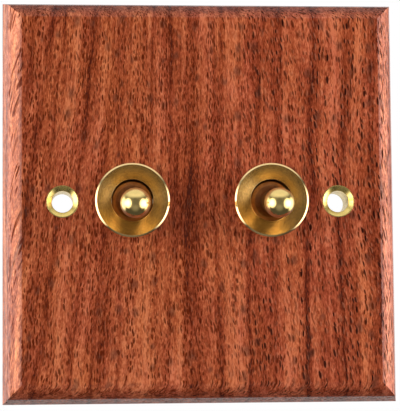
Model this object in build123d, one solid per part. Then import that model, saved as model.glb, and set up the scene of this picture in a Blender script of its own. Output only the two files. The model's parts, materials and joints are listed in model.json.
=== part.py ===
from build123d import *
import math
import os

# Frame, in millimetres: X to the right seen from the front, Z up, and the front
# faces -Y. The origin is midway between the two fixing holes, in the plane of the
# wooden plate's back face.
# Both switches are the same module, at X = -GANG_X and X = +GANG_X. Each is shown
# with its lever leaning down, the closed position.

# Wooden plate
PLATE_WIDTH = 87.0           # across the back, where it is widest
PLATE_HEIGHT = 88.8
PLATE_X = 0.25              # its middle, from the fixing holes' middle
PLATE_Z = 0.5
PLATE_THICKNESS = 8.8
EDGE_ROUND = 3.15           # moulding on the four front edges, as wide as it is deep
EDGE_BOW = 0.56             # its arc stands this far out of its chord
EDGE_FLARE = 1.2            # behind it each side flares out by this to the back
POCKET_WIDTH = 51.0
POCKET_HEIGHT = 57.0
POCKET_DEPTH = 5.0
POCKET_CORNER = 3.0
NECK_HOLE_R = 6.2

# Fixing holes and their brass cups
FIXING_CENTRES = 60.3
CUP_R = 3.5
CUP_THROAT_R = 2.35
CUP_BARREL_R = 2.9
CUP_BOWL_DEPTH = 1.0
CUP_BACK = 0.0              # the barrel is flush with the back

# Switch modules
GANG_X = 15.1
BEZEL_R = 8.2
BEZEL_FACE_R = 7.62         # the edge of its dished face, inside a narrow bevel
BEZEL_HEIGHT = 3.7
BEZEL_HOLE_R = 4.55
BEZEL_DISH = 0.72
BUSH_R = 5.9
BUSH_BORE_R = 4.6
BUSH_FLANGE_R = 7.5
PIN_R = 0.8
PIN_LENGTH = 11.6

# Lever: distances are along its own axis from the pivot
LEAN = 6.0                  # degrees below the bezel's axis, and above it when up
BALL_R = 3.18
BALL_REACH = 16.5
NECK_R = 1.9
BASE_R = 4.45               # the ball joint, round the pivot
SKIRT_R = 4.3               # the rim where the trumpet shape in front of it starts
STEM_R = 1.9
STEM_END = 9.6
CARRIER_R = 3.1
CARRIER_START = 6.0
CARRIER_END = 16.0
PLUNGER_R = 1.6
PLUNGER_BORE_R = 1.68
PLUNGER_BACK = 13.4
PLUNGER_TIP = 18.0          # centre of its round tip
SPRING_SEAT = 10.6
SPRING_MEAN_R = 1.3
SPRING_WIRE_R = 0.2
SPRING_PITCH = 0.6

# Rocker, pivoted on the common terminal's round nose
ROCK = 5.0                  # degrees each way
ROCKER_V = 8.5              # degrees that each arm is bent forward
ROCKER_THICK = 1.0
ROCKER_WIDTH = 5.0
ROCKER_ARM = 12.5
ROCKER_APEX = 1.45          # from the pivot to the front of the V
PIVOT_GAP = 0.17            # plunger tip to rocker at mid-travel
NOSE_R = 0.8
NOSE_SEAT_R = 0.88
CONTACT_AT = 11.0
CONTACT_R = 1.4
CONTACT_THICK = 0.7
CONTACT_GAP = 0.09

# Steel parts behind the plate
SHEET = 1.2
BACKING_WIDTH = 50.0
BACKING_HEIGHT = 56.0
FRAME_SHEET = 1.0
FRAME_LEG_WIDTH = 12.0
FRAME_LEG_END = 11.0

# Moulded housing and its terminals
HOUSING_WIDTH = 19.0
HOUSING_HEIGHT = 38.0
HOUSING_BACK = 25.2
CAVITY_WIDTH = 12.0
CAVITY_HEIGHT = 29.0
BLOCK_WIDTH = 8.0
BLOCK_HEIGHT = 7.0
BLOCK_BACK = 22.5
BLOCK_Z = 12.0
COMMON_FRONT = 15.5
WIRE_Y = 19.0
WIRE_R = 1.6
WIRE_ENTRY_R = 1.8
THREAD_R = 1.45

FACE = PLATE_THICKNESS                      # the wood's front face is at -FACE
PIVOT_Y = -FACE                             # lever pivots, in the face's plane
BACKING_FRONT = -POCKET_DEPTH
BACKING_REAR = BACKING_FRONT + SHEET
FLANGE_REAR = BACKING_REAR + 1.0
FRAME_REAR = FLANGE_REAR + FRAME_SHEET      # the housing starts here
APEX_Y = PIVOT_Y + PLUNGER_TIP + PLUNGER_R / math.cos(math.radians(ROCKER_V)) + PIVOT_GAP
ROCKER_Y = APEX_Y + ROCKER_APEX             # rocker pivot


def turned(start, *steps):
    """A solid of revolution about Z. A step is a point (r, z), or a pair of
    points (through, end) for an arc."""
    edges, at = [], start
    for step in steps + (start,):
        if isinstance(step[0], tuple):
            through, end = step
            edges.append(Edge.make_three_point_arc(
                (at[0], 0, at[1]), (through[0], 0, through[1]), (end[0], 0, end[1])))
            at = end
        elif math.dist(step, at) > 1e-6:
            edges.append(Edge.make_line((at[0], 0, at[1]), (step[0], 0, step[1])))
            at = step
    return revolve(Face(Wire(edges)), Axis.Z)


def crown(r, z, top):
    """The arc from (r, z) to (0, top) whose centre is on the axis."""
    rise = top - z
    ball = (r * r + rise * rise) / (2 * rise)
    half = math.asin(r / ball) / 2
    return (ball * math.sin(half), top - ball * (1 - math.cos(half))), (0, top)


def facing(solid, x=0.0, z=0.0):
    """Local +Z turned to the front, -Y."""
    return Pos(x, 0, z) * Rot(90, 0, 0) * solid


def block(x0, x1, y0, y1, z0, z1):
    return Pos((x0 + x1) / 2, (y0 + y1) / 2, (z0 + z1) / 2) * Box(x1 - x0, y1 - y0, z1 - z0)


def rod_y(r, y0, y1, x=0.0, z=0.0):
    return Pos(x, (y0 + y1) / 2, z) * Rot(90, 0, 0) * Cylinder(r, y1 - y0)


def rod_x(r, x0, x1, y=0.0, z=0.0):
    return Pos((x0 + x1) / 2, y, z) * Rot(0, 90, 0) * Cylinder(r, x1 - x0)


def rod_z(r, z0, z1, x=0.0, y=0.0):
    return Pos(x, y, (z0 + z1) / 2) * Cylinder(r, z1 - z0)


def slotted(head_r, head_h, shank_r, shank_l, dome, slot):
    """A slotted screw along Z: the head's seat is at 0 and its slot faces +Z."""
    body = turned(
        (0, -shank_l), (shank_r - 0.3, -shank_l), (shank_r, -shank_l + 0.4), (shank_r, 0),
        (head_r, 0), (head_r, head_h - dome), crown(head_r, head_h - dome, head_h))
    return body - Pos(0, 0, head_h - slot / 2 + 0.1) * Box(head_r * 3, 0.7, slot + 0.2)


def lever_frame(solid, x):
    """From the lever's own axis (local +Z towards the ball) to the closed position."""
    return Pos(x, PIVOT_Y, 0) * Rot(90 + LEAN, 0, 0) * solid


def rocker_frame(solid, x):
    """From the rocker's level frame about its pivot to the closed position."""
    return Pos(x, ROCKER_Y, 0) * Rot(-ROCK, 0, 0) * solid


# ---------------------------------------------------------------- plate and cups
def moulded(width, middle):
    """The plate's section across one direction: (along, y) from its back to its face."""
    half, y = width / 2, -FACE + EDGE_ROUND
    inner = half - EDGE_FLARE
    mid = EDGE_ROUND / 2 - EDGE_BOW * math.sqrt(0.5)
    def at(u, v):
        return (middle + u, v)
    edges = [Line(at(-half, 0), at(half, 0)), Line(at(half, 0), at(inner, y)),
             ThreePointArc(at(inner, y), at(inner - mid, y - EDGE_ROUND + mid), at(inner - EDGE_ROUND, -FACE)),
             Line(at(inner - EDGE_ROUND, -FACE), at(-inner + EDGE_ROUND, -FACE)),
             ThreePointArc(at(-inner + EDGE_ROUND, -FACE), at(-inner + mid, y - EDGE_ROUND + mid), at(-inner, y)),
             Line(at(-inner, y), at(-half, 0))]
    return make_face(edges)


def wood_plate():
    upright = extrude(moulded(PLATE_WIDTH, PLATE_X), 60, both=True)
    across = extrude(Plane((0, 0, 0), x_dir=(0, 0, 1), z_dir=(-1, 0, 0)) * moulded(PLATE_HEIGHT, PLATE_Z), 60, both=True)
    w = upright & across
    pocket = block(-POCKET_WIDTH / 2, POCKET_WIDTH / 2, -POCKET_DEPTH, 1,
                   -POCKET_HEIGHT / 2, POCKET_HEIGHT / 2)
    w -= fillet(pocket.edges().filter_by(Axis.Y), POCKET_CORNER)
    for s in (-1, 1):
        w -= rod_y(NECK_HOLE_R, -FACE - 1, 0, x=s * GANG_X)
        w -= facing(cup_outside(0.03, 1.0), x=s * FIXING_CENTRES / 2)
    for x, z in BACKING_SCREWS:
        w -= rod_y(1.1, -8.1, -POCKET_DEPTH + 0.5, x, z)
    return w


def cup_outside(grow, back):
    return turned(
        (0, -back), (CUP_BARREL_R + grow, -back), (CUP_BARREL_R + grow, FACE - 2.2),
        (CUP_R + grow, FACE - 1.2), (CUP_R + grow, FACE + 0.5), (0, FACE + 0.5))


def screw_cup():
    lip = CUP_R - 0.2
    return facing(turned(
        (CUP_THROAT_R, CUP_BACK), (CUP_BARREL_R, CUP_BACK), (CUP_BARREL_R, FACE - 2.2),
        (CUP_R, FACE - 1.2), (CUP_R, FACE), (lip, FACE), (CUP_THROAT_R, FACE - CUP_BOWL_DEPTH)))


# ---------------------------------------------------------------- steel backing
BACKING_SCREWS = [(-21.5, -25.0), (21.5, -25.0), (-21.5, 25.0), (21.5, 25.0)]
PEG_Z = 14.0
EARTH_Z = -24.0


def backing_plate():
    p = block(-BACKING_WIDTH / 2, BACKING_WIDTH / 2, BACKING_FRONT, BACKING_REAR,
              -BACKING_HEIGHT / 2, BACKING_HEIGHT / 2)
    p = fillet(p.edges().filter_by(Axis.Y), 2.5)
    for s in (-1, 1):
        p -= rod_y(BUSH_R + 0.2, -9, 0, x=s * GANG_X)
        p -= rod_y(1.3, -9, 0, x=s * GANG_X, z=PEG_Z)
    for x, z in BACKING_SCREWS:
        p -= rod_y(1.3, -9, 0, x, z)
    return p - rod_y(2.0, -9, 0, 0, EARTH_Z)


def backing_screws():
    one = slotted(2.2, 1.4, 1.1, 4.2, 0.5, 0.7)
    return Compound(children=[Pos(x, BACKING_REAR, z) * Rot(-90, 0, 0) * one
                              for x, z in BACKING_SCREWS])


EARTH_WIRE_Y = 1.7


def earth_terminal():
    t = block(-4, 4, BACKING_REAR, 5.2, EARTH_Z - 3.5, EARTH_Z + 3.5)
    t = chamfer(t.faces().sort_by(Axis.Y)[-1].edges(), 0.4)
    t += rod_y(2.0, BACKING_FRONT, BACKING_REAR + 0.2, 0, EARTH_Z)
    t -= rod_z(1.6, EARTH_Z - 5, EARTH_Z + 5, 0, EARTH_WIRE_Y)
    return t - rod_y(THREAD_R, EARTH_WIRE_Y, 6, 0, EARTH_Z)


def earth_terminal_screw():
    return Pos(0, 5.7, EARTH_Z) * Rot(-90, 0, 0) * slotted(2.5, 1.6, THREAD_R - 0.05, 2.3, 0.3, 0.8)


# ---------------------------------------------------------------- one switch
def bezel_ring():
    top = FACE + BEZEL_HEIGHT
    return facing(turned(
        (BEZEL_HOLE_R, top - BEZEL_DISH), (BEZEL_FACE_R, top - 0.05),
        (BEZEL_FACE_R + 0.46, top - 0.34),
        (BEZEL_R, FACE + 0.2), (BEZEL_R - 0.15, FACE),
        (BUSH_R + 0.05, FACE), (BUSH_R + 0.05, top - 1.3),
        (BEZEL_HOLE_R + 0.15, top - 1.3), (BEZEL_HOLE_R, top - 1.15)))


def bush():
    front = FACE + BEZEL_HEIGHT - 1.4
    b = turned(
        (BUSH_BORE_R, front), (BUSH_R - 0.25, front), (BUSH_R, front - 0.25),
        (BUSH_R, -BACKING_REAR), (BUSH_FLANGE_R, -BACKING_REAR),
        (BUSH_FLANGE_R, -FLANGE_REAR), (6.0, -FLANGE_REAR), (6.0, -FRAME_REAR),
        (6.5, -FRAME_REAR), (6.3, -FRAME_REAR - 0.6), (BUSH_BORE_R, -FRAME_REAR - 0.6))
    return facing(b) - rod_x(PIN_R, -9, 9, PIVOT_Y)


def pivot_pin():
    return rod_x(PIN_R, -PIN_LENGTH / 2, PIN_LENGTH / 2, PIVOT_Y)


def dolly():
    at = BALL_REACH - math.sqrt(BALL_R ** 2 - NECK_R ** 2)
    rim = math.sqrt(BASE_R ** 2 - SKIRT_R ** 2)
    low = -math.sqrt(BASE_R ** 2 - 2.6 ** 2)
    d = turned(
        (0, -STEM_END), (STEM_R - 0.3, -STEM_END), (STEM_R, -STEM_END + 0.3), (STEM_R, low - 0.5),
        (2.6, low), ((BASE_R, 0), (SKIRT_R, rim)), (SKIRT_R - 0.12, rim + 0.1),
        (3.7, 1.5), ((2.86, 2.25), (2.42, 4.0)), (NECK_R, 9.0), (NECK_R, at),
        ((BALL_R, BALL_REACH), (0, BALL_REACH + BALL_R)))
    return d - rod_x(PIN_R + 0.05, -9, 9)


def carrier():
    return turned(
        (STEM_R, -CARRIER_START), (CARRIER_R - 0.5, -CARRIER_START),
        (CARRIER_R, -CARRIER_START - 0.5), (CARRIER_R, -CARRIER_END + 0.4),
        (CARRIER_R - 0.4, -CARRIER_END), (PLUNGER_BORE_R, -CARRIER_END),
        (PLUNGER_BORE_R, -SPRING_SEAT), (0, -SPRING_SEAT), (0, -STEM_END), (STEM_R, -STEM_END))


def plunger_spring():
    height = PLUNGER_BACK - SPRING_SEAT - 2 * SPRING_WIRE_R
    path = Helix(SPRING_PITCH, height, SPRING_MEAN_R)
    coil = sweep((path ^ 0) * RegularPolygon(SPRING_WIRE_R, 8), path=path, is_frenet=True)
    return Pos(0, 0, -PLUNGER_BACK + SPRING_WIRE_R) * coil


def plunger():
    return turned(
        (0, -PLUNGER_BACK), (PLUNGER_R - 0.15, -PLUNGER_BACK), (PLUNGER_R, -PLUNGER_BACK - 0.15),
        (PLUNGER_R, -PLUNGER_TIP),
        ((PLUNGER_R * math.sin(math.pi / 4), -PLUNGER_TIP - PLUNGER_R * math.cos(math.pi / 4)),
         (0, -PLUNGER_TIP - PLUNGER_R)))


V = math.radians(ROCKER_V)


def rocker():
    reach = ROCKER_APEX + ROCKER_ARM * math.tan(V)
    end = (-reach + ROCKER_THICK * math.cos(V), ROCKER_ARM + ROCKER_THICK * math.sin(V))
    back = -ROCKER_APEX + ROCKER_THICK / math.cos(V)
    side = Polyline((-ROCKER_APEX, 0), (-reach, ROCKER_ARM), end, (back, 0),
                    (end[0], -end[1]), (-reach, -ROCKER_ARM), close=True)
    r = extrude(Plane.YZ * make_face(side), ROCKER_WIDTH / 2, both=True)
    r += block(-ROCKER_WIDTH / 2, ROCKER_WIDTH / 2, -ROCKER_APEX + 0.4, -0.15, -1.7, 1.7)
    return r - rod_x(NOSE_SEAT_R, -9, 9)


def contact_head():
    return turned((0, 0), (CONTACT_R, 0), (CONTACT_R, CONTACT_THICK - 0.3),
                  crown(CONTACT_R, CONTACT_THICK - 0.3, CONTACT_THICK))


def on_arm(side):
    """A point of the rocker arm's back face at the contact, in the rocker's frame."""
    y = -ROCKER_APEX - CONTACT_AT * math.tan(V) + ROCKER_THICK * math.cos(V)
    return y, side * (CONTACT_AT + ROCKER_THICK * math.sin(V))


def rocker_tips():
    out = []
    for side in (1, -1):
        y, z = on_arm(side)
        out.append(Pos(0, y, z) * Rot(side * ROCKER_V - 90, 0, 0) * contact_head())
    return Compound(children=out)


def closed_contact():
    """Where the upper moving contact's crown is when the rocker is closed upwards."""
    y, z = on_arm(1)
    y, z = y + CONTACT_THICK * math.cos(V), z + CONTACT_THICK * math.sin(V)
    t = math.radians(ROCK)
    return ROCKER_Y + y * math.cos(t) + z * math.sin(t), -y * math.sin(t) + z * math.cos(t)


CROWN_Y, CROWN_Z = closed_contact()
BLOCK_FRONT = CROWN_Y + CONTACT_GAP + CONTACT_THICK


def fixed_contacts():
    return Compound(children=[Pos(0, BLOCK_FRONT, side * CROWN_Z) * Rot(90, 0, 0) * contact_head()
                              for side in (1, -1)])


def common_terminal():
    t = block(-BLOCK_WIDTH / 2, BLOCK_WIDTH / 2, COMMON_FRONT, BLOCK_BACK,
              -BLOCK_HEIGHT / 2, BLOCK_HEIGHT / 2)
    edge = [Line((ROCKER_Y, NOSE_R), (COMMON_FRONT + 0.5, NOSE_R)),
            Line((COMMON_FRONT + 0.5, NOSE_R), (COMMON_FRONT + 0.5, -NOSE_R)),
            Line((COMMON_FRONT + 0.5, -NOSE_R), (ROCKER_Y, -NOSE_R)),
            ThreePointArc((ROCKER_Y, -NOSE_R), (ROCKER_Y - NOSE_R, 0), (ROCKER_Y, NOSE_R))]
    t += extrude(Plane.YZ * make_face(edge), 2.5, both=True)
    t -= rod_x(WIRE_R, -9, 9, WIRE_Y)
    return t - rod_y(THREAD_R, WIRE_Y, BLOCK_BACK + 1)


def line_terminal(side):
    t = block(-BLOCK_WIDTH / 2, BLOCK_WIDTH / 2, BLOCK_FRONT, BLOCK_BACK,
              BLOCK_Z - BLOCK_HEIGHT / 2, BLOCK_Z + BLOCK_HEIGHT / 2)
    t -= rod_z(WIRE_R, BLOCK_Z - 2.5, BLOCK_Z + 9, 0, WIRE_Y)
    t -= rod_y(THREAD_R, WIRE_Y, BLOCK_BACK + 1, 0, BLOCK_Z)
    return t if side > 0 else mirror(t, Plane.XY)


def terminal_screws():
    one = slotted(2.4, 1.6, THREAD_R - 0.05, 2.5, 0.3, 0.8)
    return Compound(children=[Pos(0, BLOCK_BACK + 0.7, z) * Rot(-90, 0, 0) * one
                              for z in (BLOCK_Z, 0, -BLOCK_Z)])


def housing():
    w, h = HOUSING_WIDTH / 2, HOUSING_HEIGHT / 2
    b = block(-w, w, FRAME_REAR, HOUSING_BACK, -h, h)
    b = fillet(b.edges().filter_by(Axis.Y), 1.0)
    b = chamfer(b.faces().sort_by(Axis.Y)[-1].edges(), 0.5)
    b -= block(-CAVITY_WIDTH / 2, CAVITY_WIDTH / 2, FRAME_REAR - 1, BLOCK_FRONT,
               -CAVITY_HEIGHT / 2, CAVITY_HEIGHT / 2)
    b -= rod_y(6.8, FRAME_REAR - 1, FRAME_REAR + 0.8)
    x = BLOCK_WIDTH / 2 + 0.1
    for side in (1, -1):
        z0, z1 = BLOCK_Z - BLOCK_HEIGHT / 2, BLOCK_Z + BLOCK_HEIGHT / 2
        b -= block(-x, x, BLOCK_FRONT, HOUSING_BACK + 1, min(side * z0, side * z1), max(side * z0, side * z1))
        b -= rod_z(WIRE_ENTRY_R, min(side * 14, side * 20), max(side * 14, side * 20), 0, WIRE_Y)
        b -= rod_z(1.1, min(side * 15.4, side * 20), max(side * 15.4, side * 20), 0, 6.0)
    b -= block(-x, x, COMMON_FRONT, HOUSING_BACK + 1, -BLOCK_HEIGHT / 2, BLOCK_HEIGHT / 2)
    b -= block(-2.6, 2.6, BLOCK_FRONT - 1, COMMON_FRONT + 1, -NOSE_R - 0.1, NOSE_R + 0.1)
    b -= rod_x(WIRE_ENTRY_R, -12, 12, WIRE_Y)
    return b


def frame():
    z = HOUSING_HEIGHT / 2 + FRAME_SHEET
    w = HOUSING_WIDTH / 2
    f = block(-w, w, FLANGE_REAR, FRAME_REAR, -z, z)
    f = fillet(f.edges().filter_by(Axis.Y), 1.0)
    for side in (1, -1):
        lo, hi = sorted((side * (z - FRAME_SHEET), side * z))
        f += block(-FRAME_LEG_WIDTH / 2, FRAME_LEG_WIDTH / 2, FLANGE_REAR, FRAME_LEG_END, lo, hi)
        f -= rod_z(1.2, min(side * 17, side * 22), max(side * 17, side * 22), 0, 6.0)
    f -= rod_y(6.0, -9, 0)
    return f + rod_y(1.2, FLANGE_REAR - 1.8, FLANGE_REAR + 0.2, 0, PEG_Z)


def frame_screws():
    one = slotted(2.1, 1.4, 1.1, 4.2, 0.5, 0.7)
    z = HOUSING_HEIGHT / 2 + FRAME_SHEET
    return Compound(children=[Pos(0, 6.0, z) * one, Pos(0, 6.0, -z) * Rot(180, 0, 0) * one])


SWITCH = {
    "bezel_ring": bezel_ring(),
    "bush": bush(),
    "pivot_pin": pivot_pin(),
    "dolly": lever_frame(dolly(), 0),
    "carrier": lever_frame(carrier(), 0),
    "plunger_spring": lever_frame(plunger_spring(), 0),
    "plunger": lever_frame(plunger(), 0),
    "rocker": rocker_frame(rocker(), 0),
    "rocker_tips": rocker_frame(rocker_tips(), 0),
    "fixed_contacts": fixed_contacts(),
    "common_terminal": common_terminal(),
    "upper_terminal": line_terminal(1),
    "lower_terminal": line_terminal(-1),
    "terminal_screws": terminal_screws(),
    "housing": housing(),
    "frame": frame(),
    "frame_screws": frame_screws(),
}

parts = {
    "wood_plate": wood_plate(),
    "screw_cup_left": Pos(-FIXING_CENTRES / 2, 0, 0) * screw_cup(),
    "screw_cup_right": Pos(FIXING_CENTRES / 2, 0, 0) * screw_cup(),
    "backing_plate": backing_plate(),
    "backing_screws": backing_screws(),
    "earth_terminal": earth_terminal(),
    "earth_terminal_screw": earth_terminal_screw(),
}
for side, x in (("left", -GANG_X), ("right", GANG_X)):
    for name, solid in SWITCH.items():
        parts[side + "_" + name] = Pos(x, 0, 0) * solid

os.makedirs("parts", exist_ok=True)
for name, solid in parts.items():
    export_step(solid, f"parts/{name}.step")
    print(name, round(solid.volume, 2), len(solid.solids()))
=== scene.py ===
import json
import math

import bmesh
import bpy
import numpy as np
from mathutils import Matrix, Vector

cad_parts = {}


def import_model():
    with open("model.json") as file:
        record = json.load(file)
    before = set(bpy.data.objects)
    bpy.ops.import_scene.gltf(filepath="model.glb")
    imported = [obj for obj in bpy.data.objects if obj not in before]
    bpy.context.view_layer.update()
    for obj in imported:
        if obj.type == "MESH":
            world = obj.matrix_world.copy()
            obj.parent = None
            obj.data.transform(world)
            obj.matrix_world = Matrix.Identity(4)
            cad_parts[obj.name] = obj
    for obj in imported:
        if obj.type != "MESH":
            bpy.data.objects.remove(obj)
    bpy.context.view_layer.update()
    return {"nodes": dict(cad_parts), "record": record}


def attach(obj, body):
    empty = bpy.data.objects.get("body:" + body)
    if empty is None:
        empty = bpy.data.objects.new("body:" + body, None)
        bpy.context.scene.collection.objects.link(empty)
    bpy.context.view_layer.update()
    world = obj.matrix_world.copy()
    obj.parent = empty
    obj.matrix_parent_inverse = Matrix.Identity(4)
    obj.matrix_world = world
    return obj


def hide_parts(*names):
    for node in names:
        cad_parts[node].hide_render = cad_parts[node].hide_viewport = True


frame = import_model()
nodes = frame["nodes"]
scene = bpy.context.scene
scene.view_settings.view_transform = "Standard"
scene.view_settings.look = "None"

# ------------------------------------------------------------------ sizes (mm)
FACE = 8.8
GANG_X = 15.1
FIX_X = 30.15
LEAN = 6.0
BALL_REACH = 16.5
BEZEL_FACE_R = 7.66
HOLE_R = 4.55
BACKING_REAR = -3.8


# ------------------------------------------------------------------ camera
def camera():
    az, el, roll = map(math.radians, (-4.65, -4.82, -0.487))
    back = Vector((math.sin(az) * math.cos(el), -math.cos(az) * math.cos(el), math.sin(el)))
    right = Vector((math.cos(az), math.sin(az), 0))
    up = back.cross(right)
    r2 = right * math.cos(roll) + up * math.sin(roll)
    u2 = up * math.cos(roll) - right * math.sin(roll)
    cam = bpy.data.objects.new("camera", bpy.data.cameras.new("camera"))
    cam.data.lens = 167.4
    cam.data.sensor_width = 36.0
    cam.data.clip_start, cam.data.clip_end = 0.01, 50.0
    m = Matrix((r2, u2, back)).transposed().to_4x4()
    m.translation = Vector((-0.03389, -0.42222, -0.03589))
    cam.matrix_world = m
    scene.collection.objects.link(cam)
    scene.camera = cam
    return r2, u2, back


RIGHT, UP, BACK = camera()


# ------------------------------------------------------------------ light
def from_camera(x, y, z):
    return (RIGHT * x + UP * y + BACK * z).normalized()


def world():
    """A studio of soft light: a large diffuse lamp on each side, a bright ceiling and a white sweep behind."""
    w = bpy.data.worlds.new("studio")
    scene.world = w
    w.use_nodes = True
    nt = w.node_tree
    nt.nodes.clear()
    out = nt.nodes.new("ShaderNodeOutputWorld")
    mix = nt.nodes.new("ShaderNodeMixShader")
    seen = nt.nodes.new("ShaderNodeBackground")
    light = nt.nodes.new("ShaderNodeBackground")
    path = nt.nodes.new("ShaderNodeLightPath")
    coord = nt.nodes.new("ShaderNodeTexCoord")
    sep = nt.nodes.new("ShaderNodeSeparateXYZ")
    nt.links.new(coord.outputs["Generated"], sep.inputs[0])

    def put(value, socket):
        if isinstance(value, bpy.types.NodeSocket):
            nt.links.new(value, socket)
        else:
            socket.default_value = value

    def calc(op, a, b):
        n = nt.nodes.new("ShaderNodeMath")
        n.operation = op
        put(a, n.inputs[0])
        put(b, n.inputs[1])
        return n.outputs[0]

    def step(source, lo, hi, top=1.0):
        n = nt.nodes.new("ShaderNodeMapRange")
        n.interpolation_type = "SMOOTHSTEP"
        n.inputs["From Min"].default_value = lo
        n.inputs["From Max"].default_value = hi
        n.inputs["To Max"].default_value = top
        nt.links.new(source, n.inputs["Value"])
        return n.outputs["Result"]

    def lobe(direction, inner, outer, power):
        dot = nt.nodes.new("ShaderNodeVectorMath")
        dot.operation = "DOT_PRODUCT"
        nt.links.new(coord.outputs["Generated"], dot.inputs[0])
        dot.inputs[1].default_value = direction
        return step(dot.outputs["Value"], math.cos(math.radians(outer)), math.cos(math.radians(inner)), power)

    glossy = path.outputs["Is Glossy Ray"]
    side = calc("ADD", lobe(from_camera(-0.85, -0.03, 0.52), 0, 38, 1.0), lobe(from_camera(0.91, -0.07, 0.41), 0, 38, 1.0))
    total = calc("MULTIPLY", side, calc("MULTIPLY", calc("SUBTRACT", 1.0, calc("MULTIPLY", glossy, 0.36)), SIDE_LIGHT))
    flank = calc("ADD", lobe(from_camera(-0.94, -0.04, -0.30), 5, 36, 1.0), lobe(from_camera(0.94, -0.10, -0.30), 5, 36, 1.0))
    dim = calc("SUBTRACT", 1.0, calc("MULTIPLY", glossy, 0.58))
    total = calc("ADD", total, calc("MULTIPLY", calc("MULTIPLY", flank, dim), FLANK_LIGHT))
    total = calc("ADD", total, lobe(from_camera(-0.42, 0.72, 0.56), 0, 33, HIGH_LIGHT))
    total = calc("ADD", total, lobe(from_camera(0.42, 0.72, 0.56), 0, 33, HIGH_LIGHT))
    top = step(sep.outputs["Z"], 0.46, 0.78, TOP_LIGHT)
    front = step(sep.outputs["Y"], 0.72, 0.36, 1.0)
    behind = calc("MULTIPLY", step(sep.outputs["Y"], 0.58, 0.90, BACKDROP), step(sep.outputs["Z"], -0.62, -0.22, 1.0))
    total = calc("ADD", total, calc("MAXIMUM", calc("MULTIPLY", top, front), behind))
    total = calc("ADD", total, lobe(from_camera(0.0, -0.08, 1.0), 10, 58, FRONT_FILL))
    total = calc("ADD", total, lobe(from_camera(0.0, -0.66, 0.75), 0, 36, LOW_FILL))
    total = calc("ADD", total, FILL)
    light.inputs["Color"].default_value = (1.0, 0.985, 0.955, 1)
    nt.links.new(total, light.inputs["Strength"])
    seen.inputs["Color"].default_value = (1, 1, 1, 1)
    seen.inputs["Strength"].default_value = 1.0
    nt.links.new(path.outputs["Is Camera Ray"], mix.inputs[0])
    nt.links.new(light.outputs[0], mix.inputs[1])
    nt.links.new(seen.outputs[0], mix.inputs[2])
    nt.links.new(mix.outputs[0], out.inputs["Surface"])


SIDE_LIGHT = 6.1
FLANK_LIGHT = 6.0
HIGH_LIGHT = 0.12
TOP_LIGHT = 0.80
BACKDROP = 0.8
FRONT_FILL = 0.10
LOW_FILL = 0.14
FILL = 0.08
world()


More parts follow.
